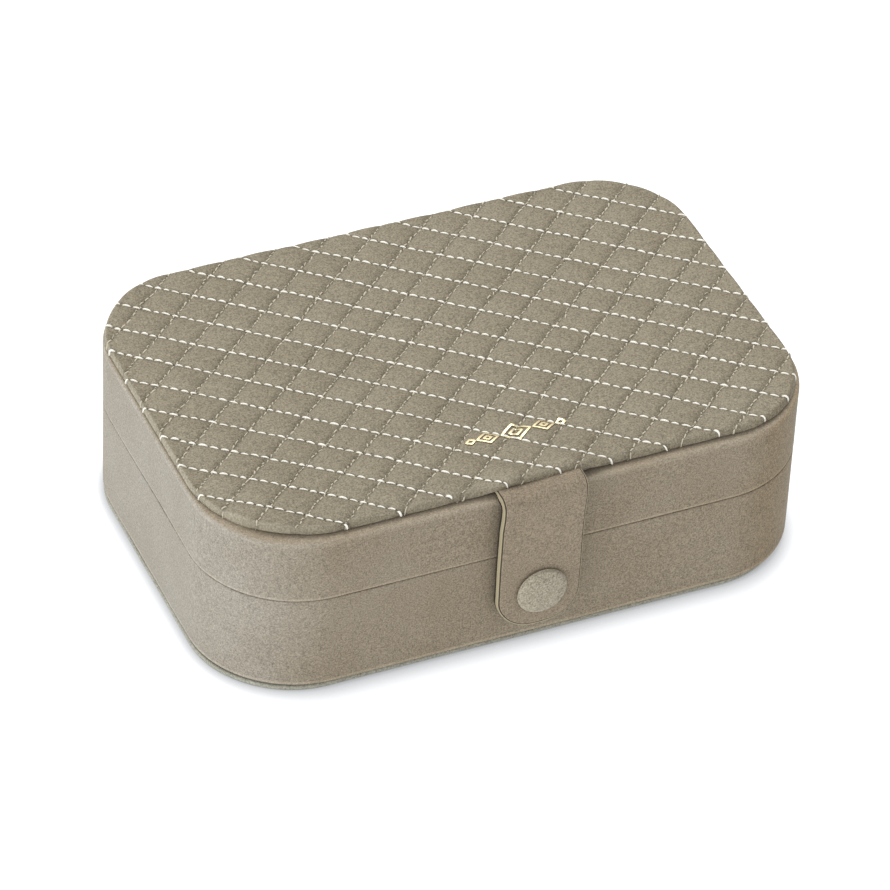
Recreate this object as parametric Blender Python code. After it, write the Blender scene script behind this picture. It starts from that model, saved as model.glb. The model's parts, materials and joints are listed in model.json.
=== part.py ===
"""Travel jewelry case: a velvet-wrapped board box with a quilted hinged lid and a snap tab.

Origin at the centre of the resting face, +Z up, the snap tab on the -Y side, X along the length.
Lengths are in metres. Every sub-part is its own closed solid.
"""

from math import cos, pi, radians, sin, sqrt

import bmesh
import bpy
from mathutils import Matrix, Vector

MM = 0.001
GAP = 0.3 * MM  # clearance between neighbouring pieces

# Outside of the case
WIDTH = 180 * MM
DEPTH = 123 * MM
HEIGHT = 56 * MM
SEAM_Z = 32.7 * MM  # height of the line where lid and base meet
CORNER_R = 30.7 * MM  # plan radius of the case's corners
RIM_GAP = 0.15 * MM  # from the seam plane to each rim
CORNER_STEPS = 8  # segments in a quarter turn
RIM_R = 0.7 * MM  # rounding of both rims at the seam

# Layers of the wall, as insets from the outside of the case
COVER_T = 1.0 * MM
BOARD_OUT = COVER_T + GAP
BOARD_IN = 3.5 * MM
LINING_OUT = 4.4 * MM
LINING_IN = 5.0 * MM
INSIDE = LINING_IN + GAP  # inset of anything that stands inside the lining
FOLD_IN = 3.9 * MM  # how far a rim's velvet folds inwards
FOLD_T = 0.6 * MM

# Heights in the base
BOTTOM_T = 2.2 * MM
BOTTOM_INSET = 0.9 * MM
BOTTOM_SOFT = 0.4 * MM  # softening of the bottom panel's edges
BASE_Z = BOTTOM_T + GAP
FLOOR_TOP = 4.5 * MM
PAD_TOP = 6.0 * MM
STAND_Z = PAD_TOP + GAP
BASE_RIM = SEAM_Z - RIM_GAP
LINING_RIM = BASE_RIM - RIM_GAP
PAD_SOFT = 0.4 * MM  # softening of the floor and ceiling pads' edges

# Heights in the lid
LID_RIM = SEAM_Z + RIM_GAP
LID_LINING_RIM = LID_RIM + RIM_GAP
SHOULDER_Z = HEIGHT - 3 * MM  # flat of the side cover, round the quilted panel
SHOULDER_R = 1.0 * MM
SHOULDER_IN = 8 * MM  # how far the side cover runs in under the quilted panel
TOP_BOARD_TOP = SHOULDER_Z - FOLD_T - GAP
TOP_BOARD_BOTTOM = TOP_BOARD_TOP - 2.05 * MM
TOP_BOARD_SOFT = 1.0 * MM
CEILING_TOP = TOP_BOARD_BOTTOM - GAP
CEILING_Z = CEILING_TOP - 1.2 * MM
HUNG_Z = CEILING_Z - GAP  # top of anything fixed to the ceiling

# Quilted panel on top of the lid
PANEL_Z = SHOULDER_Z + GAP
PANEL_INSET = 1.0 * MM  # from the case's outside, at the sides and the back
PANEL_SETBACK = 2.8 * MM  # the same at the front, where the tab comes out
PANEL_R = 28 * MM
PANEL_ROLL = 1.5 * MM  # radius of its padded edge
PANEL_BOARD_IN = 1.3 * MM  # from the panel's edge to its board's
PANEL_BOARD_TOP = PANEL_Z + 0.9 * MM

# Fabric hinge at the back
HINGE_HALF = 58 * MM
HINGE_DROP = 12 * MM  # how far the outer cloth runs up and down from the seam
HINGE_CLOTH_T = 0.85 * MM
LID_AXIS = Vector((0, DEPTH / 2 + 0.2 * MM, SEAM_Z))
LINING_CLOTH_T = 0.5 * MM
BACK_Y = DEPTH / 2 - INSIDE - LINING_CLOTH_T - GAP  # rear limit of what stands inside

# Base layout
DIVIDER_T = 3.0 * MM
DIVIDER_TOP = 28 * MM
DIVIDER_SOFT = 0.8 * MM  # rounding of its top edges
LONG_DIVIDER_X = -24 * MM
CROSS_DIVIDER_Y = -12 * MM
SHORT_DIVIDER_X = 31 * MM
ROLL_COUNT = 7
ROLL_R = 7.5 * MM
ROLL_PITCH = 15.6 * MM
ROLL_Z = 20 * MM  # height of a roll's axis
ROLL_STEPS = 12  # segments over a roll's top
RING_BLOCK_TOP = 12 * MM
RING_BLOCK_R = 1 * MM  # its corners beside the divider

# Lid layout
MIRROR = (-62 * MM, 62 * MM, -54 * MM, 14 * MM)  # outside of the frame: x0, x1, y0, y1
MIRROR_R = 8 * MM
MIRROR_LIP = 5 * MM
MIRROR_FRAME_T = 3.2 * MM
MIRROR_LIP_T = 0.6 * MM
MIRROR_BEZEL = 2.2 * MM  # width of the frame behind the lip
MIRROR_SOFT = 0.5 * MM
GLASS_T = 1.3 * MM
POCKET_HALF = 58 * MM
POCKET_MOUTH_Y = 19 * MM
POCKET_DEPTH = 8 * MM  # how far the pocket's mouth stands off the ceiling
POCKET_T = 0.8 * MM
POCKET_STEPS = 8  # segments across half of it, and along it
ELASTIC_W = 5 * MM

# Closing tab: its outer face runs forward off the lid, over a bend, and down the front
TAB_HALF = 12.5 * MM
TAB_END_R = 11 * MM
TAB_END_Z = 8.5 * MM
TAB_TOP_Z = SHOULDER_Z + 1.7 * MM  # outer face of the glued tongue
TONGUE_BACK_Y = -50.3 * MM
TONGUE_T = TAB_TOP_Z - PANEL_Z
BEND_R = 4.2 * MM
BEND_STANDOFF = 5.2 * MM  # the bend's furthest reach from the front wall
TAB_STANDOFF = 4.0 * MM  # outer face from the front wall at the snap
TAB_FLAT_Z = 30 * MM  # below this the tab hangs straight
TAB_LAYERS = (  # node, distance of its outer and inner face behind the tab's outer face
    ("tab_front", 0.0, 0.4 * MM),
    ("tab_core", 0.65 * MM, 1.7 * MM),
    ("tab_backing", 1.95 * MM, 2.3 * MM),
)
TAB_T = TAB_LAYERS[-1][2]
SPLIT_ANGLE = radians(45)  # place of the tab's fold line on the bend, from the vertical
FOLD_GAP = 0.15 * MM

# Snap
SNAP_Z = 21.2 * MM
BUTTON_R = 7.45 * MM
BUTTON_T = 0.5 * MM  # velvet over the button's metal shell
BUTTON_RISE = 1.9 * MM
DOME_STEPS = 6
SNAP_HOLE_R = 2.4 * MM
SNAP_POST_R = 2.0 * MM
SOCKET_MOUTH = 1.0 * MM  # from the front wall to the socket's mouth
STUD_R = 4.5 * MM
STUD_POST_R = 1.4 * MM
STUD_BORE_R = 1.7 * MM  # hole for the post in the wall board
SNAP_STEPS = 32

COLOURS = {  # linear base colour, roughness, metallic
    "velvet": ((0.30, 0.25, 0.19), 0.9, 0.0),
    "lining": ((0.42, 0.36, 0.28), 0.9, 0.0),
    "board": ((0.33, 0.31, 0.28), 0.85, 0.0),
    "pale_edge": ((0.45, 0.40, 0.28), 0.7, 0.0),
    "steel": ((0.62, 0.60, 0.56), 0.3, 1.0),
    "mirror": ((0.92, 0.93, 0.93), 0.03, 1.0),
    "elastic": ((0.36, 0.31, 0.24), 0.8, 0.0),
}


# ---------------------------------------------------------------- building blocks


def clear_scene():
    for obj in list(bpy.data.objects):
        bpy.data.objects.remove(obj, do_unlink=True)


def give_material(obj, kind):
    """A material of the object's own, in one of the case's few finishes."""
    colour, roughness, metallic = COLOURS[kind]
    material = bpy.data.materials.new(obj.name + "_" + kind)
    material.use_nodes = True
    shader = material.node_tree.nodes["Principled BSDF"]
    shader.inputs["Base Color"].default_value = (*colour, 1.0)
    shader.inputs["Roughness"].default_value = roughness
    shader.inputs["Metallic"].default_value = metallic
    obj.data.materials.append(material)


def loft(name, rings, kind, closed=False):
    """A solid through rings of equally many points; closed joins the last ring to the first."""
    bm = bmesh.new()
    rows = [[bm.verts.new(point) for point in ring] for ring in rings]
    pairs = list(zip(rows, rows[1:]))
    if closed:
        pairs.append((rows[-1], rows[0]))
    else:
        bm.faces.new(rows[0])
        bm.faces.new(rows[-1])
    for low, high in pairs:
        for i, vert in enumerate(low):
            j = (i + 1) % len(low)
            bm.faces.new((vert, low[j], high[j], high[i]))
    bmesh.ops.recalc_face_normals(bm, faces=bm.faces)
    mesh = bpy.data.meshes.new(name)
    bm.to_mesh(mesh)
    bm.free()
    mesh.shade_smooth()
    mesh.set_sharp_from_angle(angle=radians(35))
    obj = bpy.data.objects.new(name, mesh)
    bpy.context.collection.objects.link(obj)
    if kind:
        give_material(obj, kind)
    return obj


def rounded_rect(x0, x1, y0, y1, radii):
    """Outline of a rectangle; radii are for the right front, right back, left back, left front."""
    if not isinstance(radii, tuple):
        radii = (radii,) * 4
    corners = ((x1, y0, -1, 1), (x1, y1, -1, -1), (x0, y1, 1, -1), (x0, y0, 1, 1))
    points = []
    for quarter, ((x, y, sx, sy), r) in enumerate(zip(corners, radii)):
        for step in range(CORNER_STEPS + 1):
            a = (quarter - 1 + step / CORNER_STEPS) * pi / 2
            points.append((x + sx * r + r * cos(a), y + sy * r + r * sin(a)))
    return points


def case_outline(inset):
    """The case's plan outline, moved inwards by inset."""
    x, y = WIDTH / 2 - inset, DEPTH / 2 - inset
    return rounded_rect(-x, x, -y, y, CORNER_R - inset)


def panel_outline(inset):
    """The quilted panel's plan outline, moved inwards by inset."""
    x, y = WIDTH / 2 - PANEL_INSET - inset, DEPTH / 2 - inset
    return rounded_rect(-x, x, PANEL_SETBACK - y, y - PANEL_INSET, PANEL_R - inset)


def mirror_outline(inset):
    x0, x1, y0, y1 = MIRROR
    return rounded_rect(x0 + inset, x1 - inset, y0 + inset, y1 - inset, MIRROR_R - inset)


def profile_rings(profile, outline):
    return [[(x, y, z) for x, y in outline(inset)] for inset, z in profile]


def wall(name, profile, kind, outline=case_outline):
    """A ring-shaped piece: a closed profile of (inset, z) run round an outline."""
    return loft(name, profile_rings(profile, outline), kind, closed=True)


def slab(name, profile, kind, outline=case_outline):
    """A plate: outlines of (inset, z) stacked and capped."""
    return loft(name, profile_rings(profile, outline), kind)


def box(name, x0, x1, y0, y1, z0, z1, kind):
    return loft(name, [[(x0, y0, z), (x1, y0, z), (x1, y1, z), (x0, y1, z)] for z in (z0, z1)], kind)


def turned(name, profile, kind, closed=False):
    """A piece turned about the snap's axis: (radius, distance out from the front wall)."""
    rings = []
    for radius, out in profile:
        angles = [2 * pi * step / SNAP_STEPS for step in range(SNAP_STEPS)]
        rings.append([(radius * cos(a), radius * sin(a), out) for a in angles])
    obj = loft(name, rings, kind, closed)
    obj.rotation_euler = (pi / 2, 0, 0)
    obj.location = (0, -DEPTH / 2, SNAP_Z)
    return obj


def arc(centre, radius, start, end, steps):
    """Points on an arc in the (first, second) plane, angles in degrees."""
    angles = [radians(start + (end - start) * i / steps) for i in range(steps + 1)]
    return [(centre[0] + radius * cos(a), centre[1] + radius * sin(a)) for a in angles]


def cut(obj, cutter):
    """Subtract cutter, which stays in the file as a hidden wire shape."""
    cutter.hide_render = True
    cutter.display_type = "WIRE"
    modifier = obj.modifiers.new("cut_" + cutter.name, "BOOLEAN")
    modifier.operation = "DIFFERENCE"
    modifier.solver = "EXACT"
    modifier.object = cutter


def hang_from(axis_name, position, objects):
    """Parent a moving body's pieces to an empty on its joint's axis."""
    empty = bpy.data.objects.new(axis_name, None)
    empty.location = position
    bpy.context.collection.objects.link(empty)
    for obj in objects:
        obj.parent = empty
        obj.matrix_parent_inverse = Matrix.Translation(position).inverted()
    return empty


# ---------------------------------------------------------------- base


def make_base_shell():
    soft = BOTTOM_INSET + BOTTOM_SOFT
    slab("bottom_panel", [
        (soft, 0),
        (BOTTOM_INSET, BOTTOM_SOFT),
        (BOTTOM_INSET, BOTTOM_T - BOTTOM_SOFT),
        (soft, BOTTOM_T),
    ], "velvet")
    cover = wall("base_side_cover", [
        (0, BASE_Z),
        *arc((RIM_R, BASE_RIM - RIM_R), RIM_R, 180, 90, 2),
        (FOLD_IN, BASE_RIM),
        (FOLD_IN, BASE_RIM - FOLD_T),
        (COVER_T, BASE_RIM - FOLD_T),
        (COVER_T, BASE_Z),
    ], "velvet")
    cut(cover, hinge_notch("hinge_notch_lower", SEAM_Z - HINGE_DROP, SEAM_Z + MM))
    cut(cover, snap_bore("cover_bore", STUD_R + GAP, -COVER_T - GAP, MM))

    board_top = BASE_RIM - FOLD_T - GAP
    board = wall("base_wall_board", [
        (BOARD_OUT, BASE_Z), (BOARD_OUT, board_top), (BOARD_IN, board_top), (BOARD_IN, BASE_Z),
    ], "board")
    cut(board, snap_bore("board_bore", STUD_BORE_R, -BOARD_IN - MM, -COVER_T))

    slab("base_floor_board", [(BOARD_IN + GAP, BASE_Z), (BOARD_IN + GAP, FLOOR_TOP)], "board")
    wall("base_wall_lining", [
        (LINING_OUT, FLOOR_TOP + GAP),
        (LINING_OUT, LINING_RIM),
        (LINING_IN, LINING_RIM),
        (LINING_IN, FLOOR_TOP + GAP),
    ], "lining")
    slab("base_floor_pad", [
        (INSIDE, FLOOR_TOP + GAP), (INSIDE, PAD_TOP - PAD_SOFT), (INSIDE + PAD_SOFT, PAD_TOP),
    ], "lining")


def hinge_notch(name, z0, z1):
    """Room for the outer hinge cloth in a side cover's back."""
    y0 = DEPTH / 2 - COVER_T - RIM_GAP
    return box(name, -HINGE_HALF, HINGE_HALF, y0, DEPTH / 2 + MM, z0, z1, None)


def snap_bore(name, radius, start, end):
    """A round cutter on the snap's axis."""
    return turned(name, [(radius, start), (radius, end)], None)


def make_dividers():
    half = DIVIDER_T / 2
    soft = DIVIDER_SOFT
    front_y = -DEPTH / 2 + INSIDE

    def upright(name, x0, x1, y0, y1):
        """A velvet-wrapped board standing on the floor, its top edge rounded."""
        rings = []
        for inset, z in [(0, STAND_Z), *arc((soft, DIVIDER_TOP - soft), soft, 180, 90, 2)]:
            xi, yi = (inset, 0) if x1 - x0 < y1 - y0 else (0, inset)
            rings.append([(x0 + xi, y0 + yi, z), (x1 - xi, y0 + yi, z),
                          (x1 - xi, y1 - yi, z), (x0 + xi, y1 - yi, z)])
        return loft(name, rings, "lining")

    upright("long_divider", LONG_DIVIDER_X - half, LONG_DIVIDER_X + half, front_y, BACK_Y)
    upright("cross_divider", LONG_DIVIDER_X + half + GAP, WIDTH / 2 - INSIDE,
            CROSS_DIVIDER_Y - half, CROSS_DIVIDER_Y + half)
    upright("short_divider", SHORT_DIVIDER_X - half, SHORT_DIVIDER_X + half,
            CROSS_DIVIDER_Y + half + GAP, BACK_Y)


def inner_edge_x(y):
    """X of the left inside limit at depth y, following the rounded corners."""
    radius = CORNER_R - INSIDE
    centre_x, centre_y = -WIDTH / 2 + CORNER_R, DEPTH / 2 - CORNER_R
    past = max(0.0, abs(y) - centre_y)
    return centre_x - sqrt(radius ** 2 - past ** 2)


def make_ring_bay():
    right = LONG_DIVIDER_X - DIVIDER_T / 2 - GAP
    corner = CORNER_R - INSIDE
    outline = rounded_rect(-WIDTH / 2 + INSIDE, right, -DEPTH / 2 + INSIDE, BACK_Y,
                           (RING_BLOCK_R, RING_BLOCK_R, corner, corner))
    loft("ring_bay_block", [[(x, y, z) for x, y in outline] for z in (STAND_Z, RING_BLOCK_TOP)], "lining")

    for number in range(ROLL_COUNT):
        centre = (number - (ROLL_COUNT - 1) / 2) * ROLL_PITCH
        stations = arc((centre, ROLL_Z), ROLL_R, 180, 0, ROLL_STEPS)
        z0 = RING_BLOCK_TOP + GAP
        rings = []
        for y, top in stations:
            left = inner_edge_x(y)
            rings.append([(left, y, z0), (right, y, z0), (right, y, top), (left, y, top)])
        loft(f"ring_roll_{number + 1}", rings, "lining")


def make_snap_stud():
    """Stud let into the front cover, and the flanged post that holds it from behind the board."""
    board_face = -BOARD_OUT
    turned("snap_stud", [
        (STUD_R, board_face + GAP),
        (STUD_R, -0.2 * MM),
        (STUD_R - 0.5 * MM, 0.1 * MM),
        (2.2 * MM, 0.1 * MM),
        (2.0 * MM, 0.35 * MM),
        (2.1 * MM, 0.5 * MM),
        (1.6 * MM, 0.7 * MM),
    ], "steel")
    flange_face = -BOARD_IN - GAP
    turned("snap_post", [
        (4.0 * MM, flange_face - 0.3 * MM),
        (4.0 * MM, flange_face),
        (STUD_POST_R, flange_face),
        (STUD_POST_R, board_face),
    ], "steel")


# ---------------------------------------------------------------- lid


def make_lid_shell():
    shoulder = arc((SHOULDER_R, SHOULDER_Z - SHOULDER_R), SHOULDER_R, 180, 90, 5)
    fold_z = LID_RIM + FOLD_T
    cover = wall("lid_side_cover", [
        (FOLD_IN, LID_RIM),
        *arc((RIM_R, LID_RIM + RIM_R), RIM_R, 270, 180, 2),
        *shoulder,
        (SHOULDER_IN, SHOULDER_Z),
        (SHOULDER_IN, SHOULDER_Z - FOLD_T),
        (COVER_T + GAP, SHOULDER_Z - FOLD_T),
        (COVER_T, SHOULDER_Z - SHOULDER_R),
        (COVER_T, fold_z),
        (FOLD_IN, fold_z),
    ], "velvet")
    cut(cover, hinge_notch("hinge_notch_upper", SEAM_Z - MM, SEAM_Z + HINGE_DROP))
    wall_top = TOP_BOARD_BOTTOM - GAP
    board = wall("lid_wall_board", [
        (BOARD_OUT, fold_z + GAP), (BOARD_OUT, wall_top), (BOARD_IN, wall_top), (BOARD_IN, fold_z + GAP),
    ], "board")
    top = slab("lid_top_board", [
        (BOARD_OUT, TOP_BOARD_BOTTOM),
        (BOARD_OUT, TOP_BOARD_TOP - TOP_BOARD_SOFT),
        (BOARD_OUT + TOP_BOARD_SOFT, TOP_BOARD_TOP),
    ], "board")
    lining = wall("lid_wall_lining", [
        (LINING_OUT, LID_LINING_RIM),
        (LINING_OUT, CEILING_TOP),
        (LINING_IN, CEILING_TOP),
        (LINING_IN, LID_LINING_RIM),
    ], "lining")
    ceiling = slab("lid_ceiling_pad", [
        (INSIDE + PAD_SOFT, CEILING_Z), (INSIDE, CEILING_Z + PAD_SOFT), (INSIDE, CEILING_TOP),
    ], "lining")
    return [cover, board, top, lining, ceiling]


def make_quilted_panel():
    """The padded panel on top, its stiff board, and the room both leave for the tab's tongue."""
    slot_half = TAB_HALF + GAP
    slot_top = TAB_TOP_Z + GAP
    roll = arc((PANEL_ROLL, HEIGHT - PANEL_ROLL), PANEL_ROLL, 180, 90, 4)
    panel = slab("quilted_top_panel", [(0, PANEL_Z), *roll], "velvet", panel_outline)
    hollow_inset = PANEL_BOARD_IN - GAP
    cut(panel, slab("panel_hollow", [
        (hollow_inset, PANEL_Z - MM), (hollow_inset, PANEL_BOARD_TOP + GAP),
    ], None, panel_outline))
    cut(panel, box("panel_slot", -slot_half, slot_half, -DEPTH / 2 - MM, TONGUE_BACK_Y + GAP,
                   PANEL_Z - MM, slot_top, None))
    board = slab("top_panel_board", [
        (PANEL_BOARD_IN, PANEL_Z), (PANEL_BOARD_IN, PANEL_BOARD_TOP),
    ], "board", panel_outline)
    cut(board, box("board_slot", -slot_half, slot_half, -DEPTH / 2 - MM, TONGUE_BACK_Y + GAP,
                   PANEL_Z - MM, slot_top + MM, None))
    return [panel, board]


def make_mirror():
    """Wrapped frame, glass and backing, hung face down from the lid's ceiling."""
    frame_z = HUNG_Z - MIRROR_FRAME_T
    lip_z = frame_z + MIRROR_LIP_T
    glass_z = lip_z + GAP
    glass_top = glass_z + GLASS_T
    backing_z = glass_top + GAP
    frame = wall("mirror_frame", [
        (0, HUNG_Z),
        (0, frame_z + MIRROR_SOFT),
        (MIRROR_SOFT, frame_z),
        (MIRROR_LIP, frame_z),
        (MIRROR_LIP, lip_z),
        (MIRROR_BEZEL, lip_z),
        (MIRROR_BEZEL, HUNG_Z),
    ], "velvet", mirror_outline)
    inner = MIRROR_BEZEL + GAP
    glass = slab("mirror_glass", [(inner, glass_z), (inner, glass_top)], "mirror", mirror_outline)
    backing = slab("mirror_backing", [(inner, backing_z), (inner, HUNG_Z)], "board", mirror_outline)
    return [frame, glass, backing]


def pocket_drop(x, y):
    """How far the gathered pocket hangs off the ceiling: full at the mouth, nothing at its seams."""
    across = 1 - (x / POCKET_HALF) ** 4
    along = 1 - ((y - POCKET_MOUTH_Y) / (BACK_Y - POCKET_MOUTH_Y)) ** 3
    return POCKET_DEPTH * across * along


def make_pocket():
    columns = [POCKET_HALF * step / POCKET_STEPS for step in range(-POCKET_STEPS, POCKET_STEPS + 1)]

    def band(name, stations, offset, thickness, kind):
        """A sheet that follows the pocket's outside, offset further down."""
        rings = []
        for y in stations:
            low = [(x, y, HUNG_Z - pocket_drop(x, y) - offset - thickness) for x in columns]
            high = [(x, y, HUNG_Z - pocket_drop(x, y) - offset) for x in reversed(columns)]
            rings.append(low + high)
        return loft(name, rings, kind)

    length = BACK_Y - POCKET_MOUTH_Y
    stations = [POCKET_MOUTH_Y + length * step / POCKET_STEPS for step in range(POCKET_STEPS + 1)]
    pocket = band("elastic_pocket", stations, 0, POCKET_T, "lining")
    edge = [POCKET_MOUTH_Y + ELASTIC_W * step / 2 for step in range(3)]
    elastic = band("pocket_elastic", edge, POCKET_T + GAP, POCKET_T, "elastic")
    return [pocket, elastic]


# ---------------------------------------------------------------- fabric hinge


def make_hinge():
    """Outer cloth and inner lining, each in two halves that meet at the hinge line."""
    outer = (GAP - HINGE_HALF, HINGE_HALF - GAP, DEPTH / 2 - HINGE_CLOTH_T, DEPTH / 2)
    inner = (-HINGE_HALF, HINGE_HALF, BACK_Y + GAP, BACK_Y + GAP + LINING_CLOTH_T)
    reach = HINGE_DROP - GAP
    box("hinge_cloth_lower", *outer, SEAM_Z - reach, BASE_RIM, "velvet")
    box("hinge_lining_lower", *inner, STAND_Z, LINING_RIM, "lining")
    upper = box("hinge_cloth_upper", *outer, LID_RIM, SEAM_Z + reach, "velvet")
    lining = box("hinge_lining_upper", *inner, LID_LINING_RIM, HUNG_Z, "lining")
    return [upper, lining]


# ---------------------------------------------------------------- tab and snap

BEND_CENTRE = (-DEPTH / 2 - BEND_STANDOFF + BEND_R, TAB_TOP_Z - BEND_R)  # y, z


def bend_frame(angle):
    """Point on the bend's outer face and the direction inwards; angle runs from top to front."""
    outward = (-sin(angle), cos(angle))
    point = (BEND_CENTRE[0] + BEND_R * outward[0], BEND_CENTRE[1] + BEND_R * outward[1])
    return point, (-outward[0], -outward[1])


def hanging_frame(z):
    """The same below the bend, where the tab eases in towards the front wall."""
    span = BEND_CENTRE[1] - TAB_FLAT_Z
    t = min(1.0, max(0.0, (z - TAB_FLAT_Z) / span))
    reach = BEND_STANDOFF - TAB_STANDOFF
    standoff = TAB_STANDOFF + reach * t * t * (3 - 2 * t)
    slope = reach * 6 * t * (1 - t) / span
    length = sqrt(1 + slope ** 2)
    return (-DEPTH / 2 - standoff, z), (1 / length, slope / length)


def tab_half_width(z):
    """Half the tab's width at height z, with its rounded end."""
    past = TAB_END_Z + TAB_END_R - z
    if past <= 0:
        return TAB_HALF
    return TAB_HALF - TAB_END_R + sqrt(max(0.0, TAB_END_R ** 2 - past ** 2))


def strap_ring(frame, half, outer, inner):
    """One cross-section of the strap between two depths behind its outer face."""
    (y, z), (iy, iz) = frame
    near = (y + iy * outer, z + iz * outer)
    far = (y + iy * inner, z + iz * inner)
    return [(-half, *near), (half, *near), (half, *far), (-half, *far)]


def make_tongue():
    """The tab's glued end: flat under the quilted panel, then over the bend to the fold line."""
    back = [((y, TAB_TOP_Z), (0, -1)) for y in (TONGUE_BACK_Y, BEND_CENTRE[0] - 0.01 * MM)]
    stop = SPLIT_ANGLE - FOLD_GAP / BEND_R
    bend = [bend_frame(stop * step / 5) for step in range(1, 6)]
    rings = [strap_ring(frame, TAB_HALF, 0, TONGUE_T) for frame in back]
    for step, frame in enumerate(bend, start=1):
        rings.append(strap_ring(frame, TAB_HALF, 0, TONGUE_T + (TAB_T - TONGUE_T) * step / 5))
    return loft("tab_tongue", rings, "velvet")


def make_tab():
    start = SPLIT_ANGLE + FOLD_GAP / BEND_R
    frames = [(bend_frame(start + (pi / 2 - start) * step / 6), TAB_HALF) for step in range(6)]
    straight_end = TAB_END_Z + TAB_END_R
    drop = BEND_CENTRE[1] - straight_end
    heights = [BEND_CENTRE[1] - drop * step / 8 for step in range(9)]
    heights += [straight_end - TAB_END_R * sin(radians(a)) for a in range(10, 91, 10)]
    frames += [(hanging_frame(z), tab_half_width(z)) for z in heights]
    bore = snap_bore("tab_bore", SNAP_HOLE_R, 0.5 * MM, 6 * MM)
    layers = []
    for name, outer, inner in TAB_LAYERS:
        rings = [strap_ring(frame, half, outer, inner) for frame, half in frames]
        layer = loft(name, rings, "pale_edge" if name == "tab_core" else "velvet")
        cut(layer, bore)
        layers.append(layer)
    return layers


def dome(radius, base, wall_height, rise):
    """Half profile of a button's dome, from its lower edge to near the middle."""
    angles = [radians(80 * step / DOME_STEPS) for step in range(DOME_STEPS + 1)]
    return [(radius, base)] + [(radius * cos(a), base + wall_height + rise * sin(a)) for a in angles]


def make_snap_cap():
    """The covered button, its metal shell with the post through the tab, and the socket behind."""
    base = TAB_STANDOFF + GAP
    shell_r = BUTTON_R - BUTTON_T
    outside = dome(BUTTON_R, base, BUTTON_T, BUTTON_RISE)
    inside = dome(shell_r, base, BUTTON_T - GAP, BUTTON_RISE - GAP)
    cover = turned("snap_cap_cover", list(reversed(inside)) + outside, "velvet")

    shell_z = base + 0.05 * MM
    shell_dome = dome(shell_r - GAP, shell_z, 0.1 * MM, BUTTON_RISE - 2 * GAP)
    post_end = TAB_STANDOFF - TAB_T + 0.1 * MM
    post = [(SNAP_POST_R, post_end), (SNAP_POST_R, shell_z)]
    shell = turned("snap_cap_shell", post + shell_dome, "steel")

    back = TAB_STANDOFF - TAB_T - 0.2 * MM
    rim_r = STUD_R + 0.1 * MM
    socket = turned("snap_socket", [
        (SNAP_POST_R, back),
        (rim_r, back),
        (rim_r, back - 0.2 * MM),
        (rim_r - MM, SOCKET_MOUTH),
        (SNAP_HOLE_R, SOCKET_MOUTH),
        (SNAP_HOLE_R, SOCKET_MOUTH + 0.2 * MM),
        (SNAP_POST_R, SOCKET_MOUTH + 0.25 * MM),
    ], "steel", closed=True)
    return [cover, shell, socket]


def make_case():
    clear_scene()
    make_base_shell()
    make_dividers()
    make_ring_bay()
    make_snap_stud()

    lid_parts = make_lid_shell() + make_quilted_panel() + make_mirror() + make_pocket()
    lid_parts += make_hinge() + [make_tongue()]
    tab_parts = make_tab() + make_snap_cap()

    lid_axis = hang_from("lid_hinge_axis", LID_AXIS, lid_parts)
    (fold_y, fold_z), _ = bend_frame(SPLIT_ANGLE)
    tab_axis = hang_from("tab_hinge_axis", Vector((0, fold_y, fold_z)), tab_parts)
    tab_axis.parent = lid_axis
    tab_axis.matrix_parent_inverse = Matrix.Translation(LID_AXIS).inverted()


make_case()
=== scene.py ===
import json
from math import cos, pi, radians, sin, sqrt

import bpy
import numpy as np
from mathutils import Matrix, Vector


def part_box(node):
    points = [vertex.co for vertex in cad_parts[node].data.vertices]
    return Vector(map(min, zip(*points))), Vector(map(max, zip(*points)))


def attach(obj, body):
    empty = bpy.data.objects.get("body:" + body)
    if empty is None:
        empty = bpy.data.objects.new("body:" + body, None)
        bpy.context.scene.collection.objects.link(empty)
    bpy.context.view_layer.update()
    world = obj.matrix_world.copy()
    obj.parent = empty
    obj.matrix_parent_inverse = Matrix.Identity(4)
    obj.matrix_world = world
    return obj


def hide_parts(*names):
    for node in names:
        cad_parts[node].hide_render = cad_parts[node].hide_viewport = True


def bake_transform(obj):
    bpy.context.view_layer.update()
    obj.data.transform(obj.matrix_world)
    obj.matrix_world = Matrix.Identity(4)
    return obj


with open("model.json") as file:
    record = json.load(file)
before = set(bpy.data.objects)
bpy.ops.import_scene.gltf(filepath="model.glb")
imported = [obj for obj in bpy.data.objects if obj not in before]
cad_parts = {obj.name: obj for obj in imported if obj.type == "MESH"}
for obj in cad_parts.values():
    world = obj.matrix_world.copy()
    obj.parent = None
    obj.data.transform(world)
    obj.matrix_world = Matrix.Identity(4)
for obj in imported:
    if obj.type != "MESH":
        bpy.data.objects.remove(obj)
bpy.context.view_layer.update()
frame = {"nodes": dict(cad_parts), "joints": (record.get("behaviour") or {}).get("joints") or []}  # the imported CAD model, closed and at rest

# Looks of the travel jewelry case: velvet over board, a quilted lid, a snap tab, and a lined inside.
# Everything is in metres in the CAD frame: origin under the case's middle, +Z up, the tab on -Y.

MM = 0.001

# ---- sizes read from the frame

BASE_LOW, BASE_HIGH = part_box("base_side_cover")
LID_LOW, LID_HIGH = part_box("lid_side_cover")
PANEL_LOW, PANEL_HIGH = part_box("quilted_top_panel")
TAB_LOW, TAB_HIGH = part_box("tab_front")
BOTTOM_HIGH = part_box("bottom_panel")[1]
TONGUE_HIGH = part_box("tab_tongue")[1]

HALF_X, HALF_Y = BASE_HIGH.x, BASE_HIGH.y
SHOULDER_R = 1.0 * MM  # rounding of the lid's top edge
CORNER_R = 30.7 * MM  # plan radius of the case's corners, as in the CAD model
AXES = {joint["name"]: Vector(joint["pos_m"]) for joint in frame["joints"]}
SEAM_Z = AXES["lid_hinge"].z  # where the lid meets the base

# ---- mesh helpers

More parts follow.
